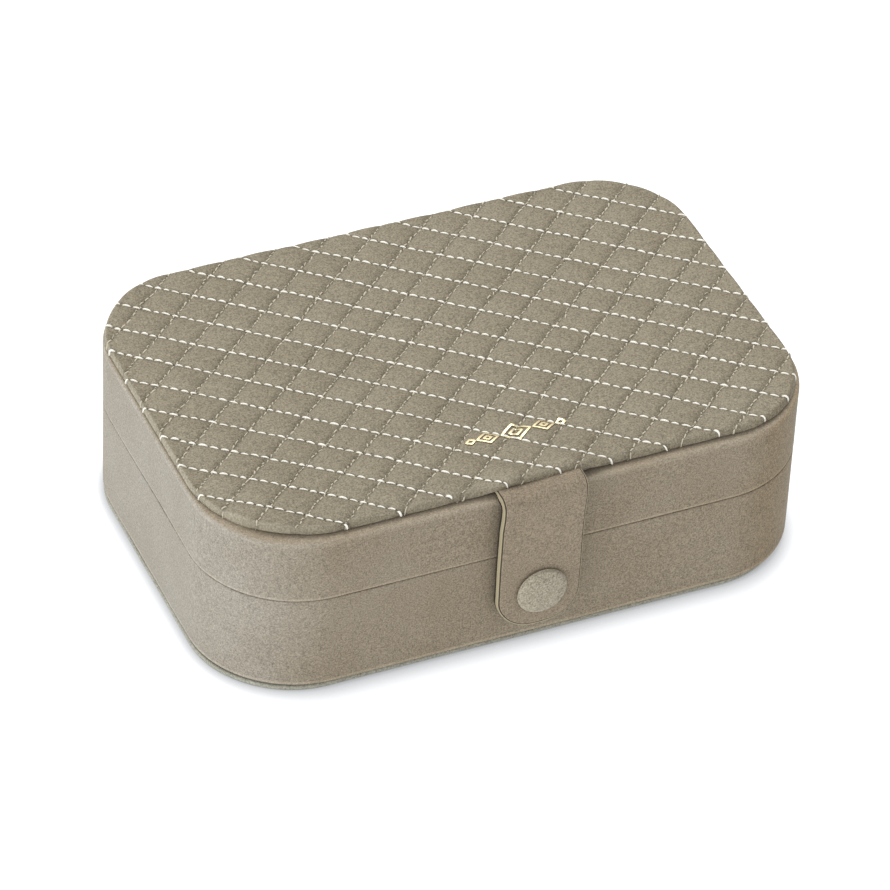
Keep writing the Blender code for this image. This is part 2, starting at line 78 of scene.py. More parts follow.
ARC_STEPS, LONG_STEPS, SHORT_STEPS = 22, 40, 20  # points round an outline


def add_object(name, data):
    obj = bpy.data.objects.new(name, data)
    bpy.context.collection.objects.link(obj)
    return obj


def add_mesh(name, points, faces, material, sharp=None):
    """A smooth-shaded mesh object; faces are turned over if they would point inwards."""
    points = np.asarray(points, float)
    fans = [(face[0], b, c) for face in faces for b, c in zip(face[1:-1], face[2:])]
    a, b, c = points[np.array(fans).T]
    if np.einsum("ij,ij->", np.cross(a, b), c) < 0:
        faces = [face[::-1] for face in faces]
    mesh = bpy.data.meshes.new(name)
    mesh.from_pydata(points.tolist(), [], faces)
    mesh.shade_smooth()
    if sharp:
        mesh.set_sharp_from_angle(angle=radians(sharp))
    mesh.materials.append(material)
    return add_object(name, mesh)


def quads(rows, columns, wrap_rows=False, wrap_columns=True):
    """Faces of a grid of points, row by row."""
    r = np.arange(rows if wrap_rows else rows - 1)
    c = np.arange(columns if wrap_columns else columns - 1)
    r, c = np.meshgrid(r, c, indexing="ij")
    r1, c1 = (r + 1) % rows, (c + 1) % columns
    corners = np.stack([r * columns + c, r * columns + c1, r1 * columns + c1, r1 * columns + c], axis=-1)
    return corners.reshape(-1, 4).tolist()


def loft(name, rings, material, closed=False, sharp=None):
    """A solid through rings of points (rings, points, 3). Open ends are closed by a fan."""
    rings = np.asarray(rings, float)
    count, around = rings.shape[:2]
    points = rings.reshape(-1, 3)
    faces = quads(count, around, wrap_rows=closed)
    if not closed:
        middles = np.stack([rings[0].mean(0), rings[-1].mean(0)])
        first, last = len(points), len(points) + 1
        points = np.concatenate([points, middles])
        start = (count - 1) * around
        for i in range(around):
            j = (i + 1) % around
            faces.append((j, i, first))
            faces.append((start + i, start + j, last))
    return add_mesh(name, points, faces, material, sharp)


def outline(inset=0.0, half=(HALF_X, HALF_Y), radius=CORNER_R, centre=(0.0, 0.0)):
    """Rounded rectangle moved inwards by inset, as an array of (x, y)."""
    hx, hy, r = half[0] - inset, half[1] - inset, max(radius - inset, 0.05 * MM)
    signs = ((1, -1), (1, 1), (-1, 1), (-1, -1))
    arcs = []
    for quarter, (sx, sy) in enumerate(signs):
        a = (quarter - 1 + np.linspace(0, 1, ARC_STEPS + 1)) * pi / 2
        arcs.append(np.stack([sx * (hx - r) + r * np.cos(a), sy * (hy - r) + r * np.sin(a)], axis=1))
    points = []
    for quarter, steps in enumerate((SHORT_STEPS, LONG_STEPS, SHORT_STEPS, LONG_STEPS)):
        here, after = arcs[quarter], arcs[(quarter + 1) % 4]
        share = np.linspace(0, 1, steps + 1)[1:-1, None]
        points += [here, here[-1] + (after[0] - here[-1]) * share]
    return np.concatenate(points) + np.array(centre)


def rings_of(profile, **shape):
    """Rings for a profile of (inset, z) run round an outline."""
    rings = []
    for inset, z in profile:
        flat = outline(inset, **shape)
        rings.append(np.column_stack([flat, np.full(len(flat), z)]))
    return np.array(rings)


def uneven(points, amount, length, seed):
    """Points moved by a smooth random field: up to about amount, in waves of about length, both in mm."""
    rng = np.random.default_rng(seed)
    points = np.array(points)
    moved = points.copy()
    for _ in range(5):
        wave = rng.normal(size=3)
        wave *= 2 * pi / (length * MM * np.linalg.norm(wave)) * rng.uniform(0.6, 1.6)
        push = rng.normal(size=3)
        push *= amount * MM / 2 / np.linalg.norm(push)
        moved += np.sin(points @ wave + rng.uniform(0, 2 * pi))[..., None] * push
    return moved


def smooth_step(low, high, value):
    """0 up to low, 1 from high on, and a smooth rise between them."""
    t = np.clip((value - low) / (high - low), 0, 1)
    return t * t * (3 - 2 * t)


def mm_from(inset, z, *points):
    """Profile points given in millimetres from (inset, z)."""
    return [(inset + across * MM, z + up * MM) for across, up in points]


def upright(inset, start, end, shares):
    """Profile points straight above each other, at shares of the way from start to end."""
    return [(inset, start + (end - start) * share) for share in shares]


def arc(inset, z, radius, start, end, steps=5):
    """Profile points on an arc about (inset, z); 180 degrees points outwards and 90 up."""
    angles = np.radians(np.linspace(start, end, steps + 1))
    return [(inset + radius * cos(a), z + radius * sin(a)) for a in angles]


def finish_piece(obj, body, slot, *nodes):
    """Put a piece on its body and in place of its CAD nodes; slot is not used.

    body is None for a piece that is put on no body.
    """
    if body:
        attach(obj, body)
    if nodes:
        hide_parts(*nodes)
    return obj


def add_piece(name, rings, material, body, slot, *nodes, closed=False, sharp=None):
    """A finished loft."""
    return finish_piece(loft(name, rings, material, closed, sharp), body, slot, *nodes)


# ---- materials


def connect(tree, socket, value):
    """Link a socket to another one, or set its value."""
    if isinstance(value, bpy.types.NodeSocket):
        tree.links.new(value, socket)
    else:
        socket.default_value = value


def set_inputs(tree, made, **inputs):
    """Set or link a node's sockets by name."""
    for name, value in inputs.items():
        connect(tree, made.inputs[name.replace("_", " ")], value)


def node(tree, kind, settings=None, **inputs):
    """A shader node; settings are its properties, inputs its sockets by name."""
    made = tree.nodes.new(kind)
    for name, value in (settings or {}).items():
        setattr(made, name, value)
    set_inputs(tree, made, **inputs)
    return made


def calc(tree, operation, a, b=0.0, c=0.0):
    """A Math node's result."""
    made = node(tree, "ShaderNodeMath", {"operation": operation})
    for socket, value in zip(made.inputs, (a, b, c)):
        connect(tree, socket, value)
    return made.outputs["Value"]


def rgba(colour, share=1.0):
    return (*(c * share for c in colour), 1.0)


def blend_colours(tree, share, a, b, mode="MIX"):
    """a at share 0, b at share 1, or another way to combine them."""
    made = node(tree, "ShaderNodeMix", {"data_type": "RGBA", "blend_type": mode})
    connect(tree, made.inputs["Factor"], share)
    connect(tree, made.inputs["A"], a)
    connect(tree, made.inputs["B"], b)
    return made.outputs["Result"]


def toned(tree, colour, tone):
    """A colour multiplied by a value."""
    grey = node(tree, "ShaderNodeCombineColor", Red=tone, Green=tone, Blue=tone).outputs["Color"]
    return blend_colours(tree, 1.0, colour, grey, "MULTIPLY")


def noise(tree, place, scale, detail=2.0, roughness=0.55):
    """Noise from 0 to 1 with features of about 1/scale metres."""
    made = node(tree, "ShaderNodeTexNoise", Vector=place, Scale=scale, Detail=detail, Roughness=roughness)
    return made.outputs["Fac"]


def start_material(name, roughness, metallic=0.0):
    """A material, its node tree, its Principled shader, and the coordinates a texture can use."""
    material = bpy.data.materials.new(name)
    material.use_nodes = True
    tree = material.node_tree
    shader = tree.nodes["Principled BSDF"]
    set_inputs(tree, shader, Roughness=roughness, Metallic=metallic)
    return material, tree, shader, tree.nodes.new("ShaderNodeTexCoord").outputs


def add_bump(tree, shader, height, distance, strength):
    """Relief from a height between 0 and 1; distance is in millimetres."""
    bump = node(tree, "ShaderNodeBump", Height=height, Distance=distance * MM, Strength=strength)
    set_inputs(tree, shader, Normal=bump.outputs["Normal"])


def edge_wear_and_painted_highlights(tree, spot, marks, value):
    """value, raised along folded edges: painted highlights where they catch the light, and rubbed pile; each
    mark is a height, half its width and its strength.
    """
    height = node(tree, "ShaderNodeSeparateXYZ", Vector=spot).outputs["Z"]
    for middle, width, strength in marks:
        away = calc(tree, "DIVIDE", calc(tree, "SUBTRACT", height, middle), width)
        mark = calc(tree, "SUBTRACT", 1.0, calc(tree, "MINIMUM", calc(tree, "MULTIPLY", away, away), 1.0))
        value = calc(tree, "MULTIPLY_ADD", mark, strength, value)
    return value


FIBRES, TUFTS, CLOUDS = 2100, 700, 55  # per metre of velvet
PAINTED_LIGHT_FROM = (-0.75, -0.25, 0.30)  # painted light: pile turned this way is painted lighter and cooler, as if lit from the left


def velvet(name, colour, cloud_and_lit_tint, sheen=0.25, grain=0.95, cloud=0.10, lean=0.10, edges=(), crease=0.0):
    """Short pile: speckled fibres and cloudy rubbed patches, with painted light and shade.

    The second colour comes in at random, and as painted light from the left on pile turned to the left;
    lean says how much pile turned to the left is painted lighter and pile turned to the right darker;
    edges are painted highlights and rubbed pile along folded edges; crease says how much painted
    shade darkens the pile where the mesh's "crease" attribute is 1.
    """
    material, tree, shader, place = start_material(name, 0.92)
    spot = place["Object"]
    fibres = noise(tree, spot, FIBRES, 1.5, 0.8)
    tufts = noise(tree, spot, TUFTS, 2.0, 0.6)
    clouds = noise(tree, spot, CLOUDS, 3.0, 0.55)
    # painted light: how far the surface is turned to the left, the side painted lighter
    painted_light_side = node(tree, "ShaderNodeVectorMath", {"operation": "DOT_PRODUCT"})
    connect(tree, painted_light_side.inputs[0], place["Normal"])
    connect(tree, painted_light_side.inputs[1], PAINTED_LIGHT_FROM)
    painted_light_side = painted_light_side.outputs["Value"]

    # painted shade in the quilt's creases, read from the mesh
    sewn = node(tree, "ShaderNodeAttribute", {"attribute_name": "crease"}).outputs["Fac"]
    value = edge_wear_and_painted_highlights(tree, spot, edges, 1 - 1.25 * grain - cloud)
    for part, weight in ((fibres, 2 * grain), (tufts, grain / 2), (clouds, 2 * cloud), (painted_light_side, lean),
                         (sewn, -crease)):
        value = calc(tree, "MULTIPLY_ADD", part, weight, value)
    # the second colour comes in at random, and as painted light on pile turned to the left
    share = calc(tree, "MULTIPLY_ADD", clouds, 0.4, calc(tree, "ADD", painted_light_side, -0.1))
    share = node(tree, "ShaderNodeClamp", Value=share).outputs["Result"]
    shade = toned(tree, blend_colours(tree, share, rgba(colour), rgba(cloud_and_lit_tint)), value)
    set_inputs(tree, shader, Base_Color=shade, Sheen_Weight=sheen, Sheen_Roughness=0.45,
               Sheen_Tint=(1.0, 0.97, 0.90, 1.0), Specular_IOR_Level=0.25)
    add_bump(tree, shader, calc(tree, "ADD", fibres, tufts), 0.12, 0.55)
    return material


def thread(name, colour, shine):
    """Twisted sewing thread with a silky shine."""
    material, tree, shader, place = start_material(name, 0.42)
    strands = noise(tree, place["Object"], 5200)
    tone = calc(tree, "MULTIPLY_ADD", strands, 0.35, 0.82)
    set_inputs(tree, shader, Base_Color=toned(tree, rgba(colour), tone), Sheen_Weight=shine,
               Specular_IOR_Level=shine)
    add_bump(tree, shader, strands, 0.08, 0.6)
    return material


def metal(name, colour, roughness, scratch):
    """Plated or foiled metal with faint handling marks."""
    material, tree, shader, place = start_material(name, roughness, 1.0)
    marks = noise(tree, place["Object"], 900, 4.0, 0.6)
    patches = noise(tree, place["Object"], 260)
    set_inputs(tree, shader, Roughness=calc(tree, "MULTIPLY_ADD", marks, scratch, roughness - scratch / 2),
               Base_Color=blend_colours(tree, patches, rgba(colour), rgba(colour, 0.86)))
    add_bump(tree, shader, marks, 0.02, 0.4)
    return material


def woven(name, colour, threads, sheen):
    """Plain woven cloth: warp and weft as two crossed waves, threads per metre."""
    material, tree, shader, place = start_material(name, 0.8)
    spot = place["Object"]
    waves = [node(tree, "ShaderNodeTexWave", {"bands_direction": direction}, Vector=spot,
                  Scale=threads / 20, Distortion=0.6).outputs["Fac"] for direction in ("X", "Y")]
    weave = calc(tree, "MULTIPLY", *waves)
    tone = calc(tree, "MULTIPLY_ADD", noise(tree, spot, 70, 3.0), 0.16, 0.80)
    tone = calc(tree, "MULTIPLY_ADD", weave, 0.18, tone)
    set_inputs(tree, shader, Base_Color=toned(tree, rgba(colour), tone), Sheen_Weight=sheen)
    add_bump(tree, shader, weave, 0.1, 0.5)
    return material


def fibrous(name, colour):
    """A dull surface of short fibres, for pulp board, dried glue and dark patches of painted shade."""
    material, tree, shader, place = start_material(name, 0.9)
    pulp = noise(tree, place["Object"], 700, 4.0, 0.7)
    set_inputs(tree, shader, Base_Color=blend_colours(tree, pulp, rgba(colour, 0.8), rgba(colour, 1.15)))
    add_bump(tree, shader, pulp, 0.06, 0.5)
    return material


def silvered_glass(name):
    """Mirror with a trace of dust that only shows as slightly duller patches."""
    material, tree, shader, place = start_material(name, 0.02, 1.0)
    dust = noise(tree, place["Object"], 45, 4.0)
    clean, dusty = rgba((0.93, 0.94, 0.94)), rgba((0.89, 0.90, 0.90))
    set_inputs(tree, shader, Roughness=calc(tree, "MULTIPLY_ADD", dust, 0.04, 0.005),
               Base_Color=blend_colours(tree, dust, clean, dusty))
    return material


# Painted highlights where folded edges catch the light, and rubbed pile there, as (height, half width,
# strength)
SIDE_EDGE_WEAR_AND_HIGHLIGHTS = ((BASE_LOW.z + 0.75 * MM, 0.55 * MM, 0.40), (LID_LOW.z + 0.45 * MM, 0.50 * MM, 0.34),
             (LID_HIGH.z, 1.6 * MM, 0.30))
QUILT_EDGE_WEAR_AND_HIGHLIGHTS = ((PANEL_LOW.z + 0.1 * MM, 0.9 * MM, 0.20),)

# lean paints pile turned to the left lighter and to the right darker; crease paints shade into the quilt's
# creases
SIDE = velvet("velvet_side", (0.229, 0.175, 0.107), (0.263, 0.244, 0.209), sheen=0.17, grain=1.05,
              lean=0.30, edges=SIDE_EDGE_WEAR_AND_HIGHLIGHTS)
QUILT = velvet("velvet_quilt", (0.208, 0.174, 0.119), (0.248, 0.227, 0.173), sheen=0.13, grain=1.15,
               lean=0.50, edges=QUILT_EDGE_WEAR_AND_HIGHLIGHTS, crease=0.42)
TAB = velvet("velvet_tab", (0.246, 0.194, 0.135), (0.270, 0.226, 0.165), sheen=0.16, cloud=0.05)
BUTTON = velvet("velvet_button", (0.310, 0.272, 0.208), (0.342, 0.313, 0.238), sheen=0.22, grain=1.2,
                cloud=0.04)
UNDER = velvet("velvet_under", (0.322, 0.304, 0.243), (0.365, 0.365, 0.304), sheen=0.22, cloud=0.04)
LINING = velvet("velvet_lining", (0.348, 0.291, 0.217), (0.391, 0.348, 0.278), sheen=0.26, cloud=0.06)
EDGE = woven("tab_edge", (0.416, 0.357, 0.223), 2600, 0.1)
THREAD = thread("cream_thread", (1.00, 0.975, 0.87), 1.0)
# painted shade: the fine rows' thread is the same cream thread, painted darker
FINE_THREAD_PAINTED_SHADE = thread("fine_thread_painted_shade", (0.609, 0.548, 0.426), 0.25)
SEAM_GLUE = fibrous("seam_glue", (0.052, 0.039, 0.026))
# painted shadow: near-black, so the tab's back edge reads as the shadow beside it
BACK_GLUE_PAINTED_SHADE = fibrous("back_glue_painted_shade", (0.022, 0.016, 0.010))
# painted shade: dark pile for the needle holes and for the shadow round the foil
PAINTED_SHADE = fibrous("painted_shade_pile", (0.087, 0.070, 0.043))
FOIL = metal("gold_foil", (0.80, 0.68, 0.42), 0.38, 0.12)
STEEL = metal("snap_metal", (0.70, 0.66, 0.58), 0.26, 0.10)
POCKET = woven("pocket_cloth", (0.348, 0.296, 0.222), 3200, 0.35)
ELASTIC = woven("elastic_band", (0.304, 0.257, 0.191), 1500, 0.1)
BOARD = fibrous("grey_board", (0.296, 0.278, 0.252))
MIRROR = silvered_glass("mirror_silver")

# ---- outer walls


def make_walls():
    """Velvet side covers of base and lid, and the wrapped bottom, all with softly turned edges."""
    turn, foot_r = 0.45 * MM, 0.5 * MM
    fold = 3.9  # mm of velvet turned in over each rim
    rim, foot = BASE_HIGH.z + 0.09 * MM, BASE_LOW.z
    profile = mm_from(0, foot, (1.0, 0.1)) + arc(foot_r, foot + foot_r, foot_r, 270, 180, 4)
    profile += upright(0, foot, rim, np.linspace(0.06, 0.94, 9)) + arc(turn, rim - turn, turn, 180, 90)
    profile += mm_from(0, rim, (2.2, 0), (fold - 0.3, 0), (fold, -0.3), (fold, -0.6), (1.0, -0.62))
    add_piece("base_velvet", uneven(rings_of(profile), 0.10, 28, 1), SIDE,
              "case", "velvet_side", "base_side_cover", closed=True)

    rim, shoulder = LID_LOW.z - 0.06 * MM, LID_HIGH.z
    profile = mm_from(0, rim, (fold, 0.6), (fold, 0.3), (fold - 0.3, 0), (2.2, 0))
    profile += arc(turn, rim + turn, turn, 270, 180) + upright(0, rim, shoulder, np.linspace(0.10, 0.88, 7))
    profile += arc(SHOULDER_R, shoulder - SHOULDER_R, SHOULDER_R, 180, 90, 8)
    profile += mm_from(0, shoulder, (2.4, 0), (5, 0), (8, 0), (8, -0.5), (1.9, -0.6))
    profile += [(1.0 * MM, shoulder - SHOULDER_R), (1.0 * MM, rim + 0.62 * MM)]
    add_piece("lid_velvet", uneven(rings_of(profile), 0.10, 28, 2), SIDE,
              "lid", "velvet_side", "lid_side_cover", closed=True)

    top, edge = BOTTOM_HIGH.z - 0.7 * MM, 0.6 * MM
    inset = HALF_X - BOTTOM_HIGH.x
    askew = (-0.7 * MM, 0.2 * MM)  # the board is glued on a little to the left
    profile = mm_from(inset, 0, (4, 0), (1.2, 0)) + arc(inset + edge, edge, edge, 270, 180, 4)
    profile += arc(inset + edge, top - edge, edge, 180, 90, 4)
    rings = rings_of(profile, centre=askew)
    rings[2:] = uneven(rings[2:], 0.06, 25, 3)
    add_piece("bottom_velvet", rings, UNDER, "case", "velvet_side", "bottom_panel")


# ---- quilted lid

PANEL_LEFT = PANEL_LOW.x + 0.1 * MM
PANEL_HALF = ((PANEL_HIGH.x - PANEL_LEFT) / 2, (PANEL_HIGH.y - PANEL_LOW.y) / 2)
PANEL_X = (PANEL_HIGH.x + PANEL_LEFT) / 2
PANEL_Y = (PANEL_HIGH.y + PANEL_LOW.y) / 2  # the panel sits a little back on the lid
PANEL_R = 28 * MM
FRONT_LEFT_R = 33 * MM  # its front left corner is rounder than the others
PANEL_ROLL = 1.0 * MM  # how far in from its edge the padding rolls over
LEFT_ROLL = 0.45 * MM  # on the left the padding is thin and ends in a sharper edge
LEFT_SAG = 0.8 * MM
LEFT_WIDTH = 14 * MM  # how far in that thin padding reaches
MEETS_LID = (-54 * MM, -46 * MM)  # the edge stands clear of the lid before this y and lies on it after
PANEL_LIP_Z = PANEL_LOW.z + 0.65 * MM  # where the roll ends in front; elsewhere it goes down to the lid
LIP_DROP = 0.80 * MM
QUILT_DEPTH = 0.80 * MM
PLUMP = 0.10 * MM  # how unevenly the pillows are filled
GRID = 0.45 * MM  # between the points of the quilted mesh

# The two stitch directions: angle from +X, distance between rows, offset of the row nearest the middle
ROWS_BRIGHT = (radians(-39.5), 10.30 * MM, 0.031)
ROWS_FINE = (radians(40.25), 10.55 * MM, 0.110)
WANDER = 0.22 * MM  # of a sewn row to either side
PULLED = 2.0 * MM  # how far the rows bend back at the place where the cover was pulled tight
PULLED_AT, PULLED_SIZE = (-60 * MM, -50 * MM), (40 * MM, 24 * MM)
HOLE_R = 0.58  # of the gap between two stitches
LIFT = 2.2 * MM  # the panel's front edge rides up over the tab by this much
PUSH = 1.5 * MM  # and is pushed forward by this much
LIFT_X = 2.0 * MM  # mostly on the tab's right


def edge_distance(x, y):
    """How far inside the panel's outline a point is."""
    radius = np.where((x < PANEL_X) & (y < PANEL_Y), FRONT_LEFT_R, PANEL_R)
    qx = np.abs(x - PANEL_X) - (PANEL_HALF[0] - radius)
    qy = np.abs(y - PANEL_Y) - (PANEL_HALF[1] - radius)
    outside = np.hypot(np.maximum(qx, 0), np.maximum(qy, 0)) + np.minimum(np.maximum(qx, qy), 0)
    return radius - outside


def meets_lid(y):
    """0 along the panel's front edge, which stands clear of the lid, and 1 along the other edges."""
    return smooth_step(*MEETS_LID, y)


def near_left(x, y):
    """1 along the panel's left edge, falling to 0 within a finger's width and towards the front corner."""
    return (1 - smooth_step(0, LEFT_WIDTH, x - PANEL_LEFT)) * meets_lid(y)


def over_tab(x, y):
    """1 where the panel's front edge lies on the tab, falling to 0 beside and behind it."""
    near_tab = 1 - smooth_step(8 * MM, 21 * MM, np.abs(x - LIFT_X))
    near_edge = smooth_step(PANEL_LOW.y + 13 * MM, PANEL_LOW.y, y)
    return near_tab * near_edge


def sway(x, y):
    """Slight wander of the sewn rows, as an offset of the point looked up."""
    from_pull = ((x - PULLED_AT[0]) / PULLED_SIZE[0]) ** 2 + ((y - PULLED_AT[1]) / PULLED_SIZE[1]) ** 2
    back = 0.4 * MM - PULLED * np.exp(-from_pull) - 0.5 * MM * near_left(x, y)
    return (WANDER * np.sin(x / 0.031 + 2.1 * np.cos(y / 0.043)),
            WANDER * np.sin(y / 0.027 + 1.7 * np.cos(x / 0.037) + 1.0) + back)


def row_distances(x, y):
    """Signed distances to the nearest bright row and the nearest fine row."""
    dx, dy = sway(x, y)
    distances = []
    for angle, pitch, offset in (ROWS_BRIGHT, ROWS_FINE):
        across = -(x + dx) * sin(angle) + (y + dy) * cos(angle)
        turns = across / pitch - offset
        distances.append((turns - np.round(turns)) * pitch)
    return distances


def bell(distance, width):
    """1 at distance 0, falling to 0 over about twice the width, which is in millimetres."""
    return np.exp(-(distance / (width * MM)) ** 2)


def valley(distance):
    """1 in a sewn row, falling to 0 on the pillows: a tight crease in a wide soft dip."""
    return 0.50 * bell(distance, 0.70) + 0.50 * bell(distance, 2.5)


def painted_crease_shade(x, y):
    """Painted shade: darker in the rows and on the left of the fine ones, where the creases lie in shade."""
    bright, fine = row_distances(x, y)
    return 0.8 * bell(bright, 0.5) + 0.6 * bell(fine, 0.45) + 0.26 * bell(fine - 0.7 * MM, 1.1)


def quilt_height(x, y):
    """Height of the quilted surface."""
    inside = edge_distance(x, y)
    bright, fine = map(valley, row_distances(x, y))
    dip = 1 - (1 - bright) * (1 - 0.9 * fine)
    plump = PLUMP * np.sin(x / 0.0061 + 1.3) * np.sin(y / 0.0083 + 0.4)
    rows_at_edge = 0.45 + 0.55 * smooth_step(0, 2.5 * MM, inside)
    thin = near_left(x, y)
    top = PANEL_HIGH.z + 0.05 * MM + plump - QUILT_DEPTH * dip * rows_at_edge - LEFT_SAG * thin
    width = PANEL_ROLL + (LEFT_ROLL - PANEL_ROLL) * smooth_step(0.6, 0.95, thin)
    roll = np.sqrt(1 - (1 - np.clip(inside / width, 0, 1)) ** 2)
    lip = PANEL_LIP_Z - LIP_DROP * meets_lid(y)
    return lip + (top - lip) * roll + LIFT * over_tab(x, y)


def on_quilt(x, y):
    """Points on the quilted surface over (x, y); outside the panel they go down its rolled edge."""
    past = np.maximum(-edge_distance(x, y), 0)
    small = 0.01 * MM
    slope_x = (edge_distance(x + small, y) - edge_distance(x - small, y)) / (2 * small)
    slope_y = (edge_distance(x, y + small) - edge_distance(x, y - small)) / (2 * small)
    x, y = x + past * slope_x, y + past * slope_y
    return np.stack([x, y - PUSH * over_tab(x, y), quilt_height(x, y) - past], axis=-1)


def make_quilted_panel():
    """The padded panel as one fine sheet with rolled edges and a flat underside, and its board."""
    near = np.array([0, 0.08, 0.22, 0.42, 0.68, 1.0, 1.4]) * MM  # closer together at the rolled edge

    def stations(half):
        inner = half - near[-1] - 0.5 * MM
        middle = np.linspace(-inner, inner, int(2 * inner / GRID))
        return np.concatenate([-half + near, middle, half - near[::-1]])

    def reach(radius):
        past = np.maximum(np.abs(ys) - (PANEL_HALF[1] - radius), 0)
        return PANEL_HALF[0] - radius + np.sqrt(np.maximum(radius ** 2 - past ** 2, 0))

    ys = stations(PANEL_HALF[1])
    shares = stations(PANEL_HALF[0]) / PANEL_HALF[0]
    left = reach(np.where(ys < 0, FRONT_LEFT_R, PANEL_R))
    x = PANEL_X + shares * np.where(shares < 0, left[:, None], reach(PANEL_R)[:, None])
    y = np.broadcast_to(ys[:, None] + PANEL_Y, x.shape)
    points = on_quilt(x, y).reshape(-1, 3)
    rows, columns = x.shape
    faces = quads(rows, columns, wrap_columns=False)

    index = np.arange(rows * columns).reshape(rows, columns)
    rim = np.concatenate([index[0], index[1:, -1], index[-1, -2::-1], index[-2:0:-1, 0]]).tolist()
    edge = points[rim]
    pinch = np.maximum(*map(valley, row_distances(edge[:, 0], edge[:, 1])))
    touching = meets_lid(edge[:, 1])

    def drawn_in(pull, z):
        middle = (PANEL_X, PANEL_Y)
        flat = middle + (edge[:, :2] - middle) * (1 - pull * MM / np.array(PANEL_HALF))
        return np.column_stack([flat, np.broadcast_to(z, count)])

    count = len(rim)
    skirt = []
    for inset, drop in ((0.0, 0.25), (0.10, 0.45), (0.45, 0.60), (3.0, 0.62)):
        pull = inset * (1 - 0.9 * touching) + 0.25 * pinch
        skirt.append(drawn_in(pull[:, None], edge[:, 2] - drop * MM * (1 - 0.5 * touching)))
    start = len(points)
    for i in range(count):
        faces.append((rim[i], start + i, start + (i + 1) % count, rim[(i + 1) % count]))
    faces += [[start + i for i in face] for face in quads(len(skirt), count)]
    last = start + (len(skirt) - 1) * count
    points = np.concatenate([points, *skirt, skirt[-1].mean(0)[None]])
    for i in range(count):
        faces.append((last + i, last + (i + 1) % count, len(points) - 1))
    panel = add_mesh("quilted_velvet", points, faces, QUILT)
    # painted shade along the creases, handed to the quilt's velvet as the "crease" attribute
    shade = np.zeros(len(points))
    shade[:x.size] = painted_crease_shade(x, y).ravel()
    panel.data.attributes.new("crease", "FLOAT", "POINT").data.foreach_set("value", shade)
    finish_piece(panel, "lid", "velvet_quilt", "quilted_top_panel")

    low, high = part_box("top_panel_board")
    profile = mm_from(0, low.z, (8, 0), (1.7, 0), (1.4, 0.2))
    profile += mm_from(0, high.z, (1.4, -0.2), (1.7, 0), (8, 0))
    board = [drawn_in(inset / MM, z) for inset, z in profile]
    add_piece("panel_board", board, BOARD, "lid", "grey_board", "top_panel_board")


def add_strands(name, strands, material, sharp=None):
    """One mesh on the quilt, of many short closed strands, each given as rings of points."""
    points, faces, count = [], [], 0
    for rings in strands:
        stations, sides = rings.shape[:2]
        points.append(rings.reshape(-1, 3))
        ends = [range(sides)[::-1], range((stations - 1) * sides, stations * sides)]
        faces += [[count + i for i in face] for face in quads(stations, sides) + ends]
        count += stations * sides
    obj = add_mesh(name, np.concatenate(points), faces, material, sharp)
    finish_piece(obj, "lid", "velvet_quilt")


def stitch(path, side, radius, sink):
    """One stitch: a thread that rises out of its hole, lies on the cloth and goes down again."""
    rings = []
    sides = 6
    count = len(path)
    for i, point in enumerate(path):
        t = i / (count - 1)
        ahead = path[min(i + 1, count - 1)] - path[max(i - 1, 0)]
        ahead /= np.linalg.norm(ahead)
        up = np.cross(side, ahead)
        up /= np.linalg.norm(up)
        plump = radius * (0.45 + 0.55 * sin(pi * t) ** 0.5)
        centre = point + up * (radius * (1.1 * sin(pi * t) ** 0.6 - 0.45) - sink)
        angles = 2 * pi * np.arange(sides) / sides
        rings.append(centre + plump * (np.cos(angles)[:, None] * side + np.sin(angles)[:, None] * up))
    return np.array(rings)


def needle_hole(x, y, radius):
    """The dimple where the thread goes through the cloth, dark with painted shade."""
    turn = 2 * pi * np.arange(8) / 8
    rings = []
    for share, lift in ((1.0, -0.06), (0.8, 0.02)):
        ring = on_quilt(x + radius * share * np.cos(turn), y + radius * share * np.sin(turn))
        rings.append(ring + (0, 0, lift * MM))
    return np.array(rings)


def clip_to_panel(flat):
    """The part of a stitch that lies on the panel, or None where too little of it does."""
    inside = edge_distance(flat[:, 0], flat[:, 1]) > -0.5 * MM
    if inside.all():
        return flat
    if inside.sum() < 3:
        return None
    first, last = flat[inside][0], flat[inside][-1]
    return first + np.linspace(0, 1, len(flat))[:, None] * (last - first)


def make_stitching(name, rows, material, length, gap, radius, jitter, sink, seed):
    """All stitches of one direction, each lying on the quilted surface, and the holes between them, dark with
    painted shade.
    """
    rng = np.random.default_rng(seed)
    angle, pitch, offset = rows
    along = np.array([cos(angle), sin(angle)])
    across = np.array([-sin(angle), cos(angle)])
    side = np.array([sin(angle), -cos(angle), 0])
    reach = np.hypot(*PANEL_HALF)
    sewn, holes = [], []
    for row in range(-int(reach / pitch) - 1, int(reach / pitch) + 2):
        base = across * pitch * (row + offset)
        start = -reach + rng.uniform(0, length)
        while start < reach:
            size = length * (1 + jitter * rng.uniform(-1, 1))
            shift = across * rng.normal(0, jitter * 0.45 * MM)
            tilt = rng.normal(0, jitter * 0.6 * MM)
            depth = sink * rng.uniform(0.2, 1.6)
            t = np.linspace(0, 1, 8)
            flat = base + shift + np.outer(start + size * t, along) + np.outer((t - 0.5) * tilt, across)
            flat = flat - np.column_stack(sway(flat[:, 0], flat[:, 1]))
            start += size + gap * (1 + jitter * rng.uniform(-1, 1))
            hole = flat[-1] + along * gap / 2
            if edge_distance(*hole) > 0.6 * MM:
                holes.append(needle_hole(*hole, HOLE_R * gap))
            flat = clip_to_panel(flat)
            if flat is not None:
                thick = radius * (1 + jitter * rng.uniform(-1, 1))
                sewn.append(stitch(on_quilt(flat[:, 0], flat[:, 1]), side, thick, depth))
    add_strands(name, sewn, material)
    # the holes are dark with painted shade
    add_strands(f"{name}_holes", holes, PAINTED_SHADE)


# ---- foil ornament


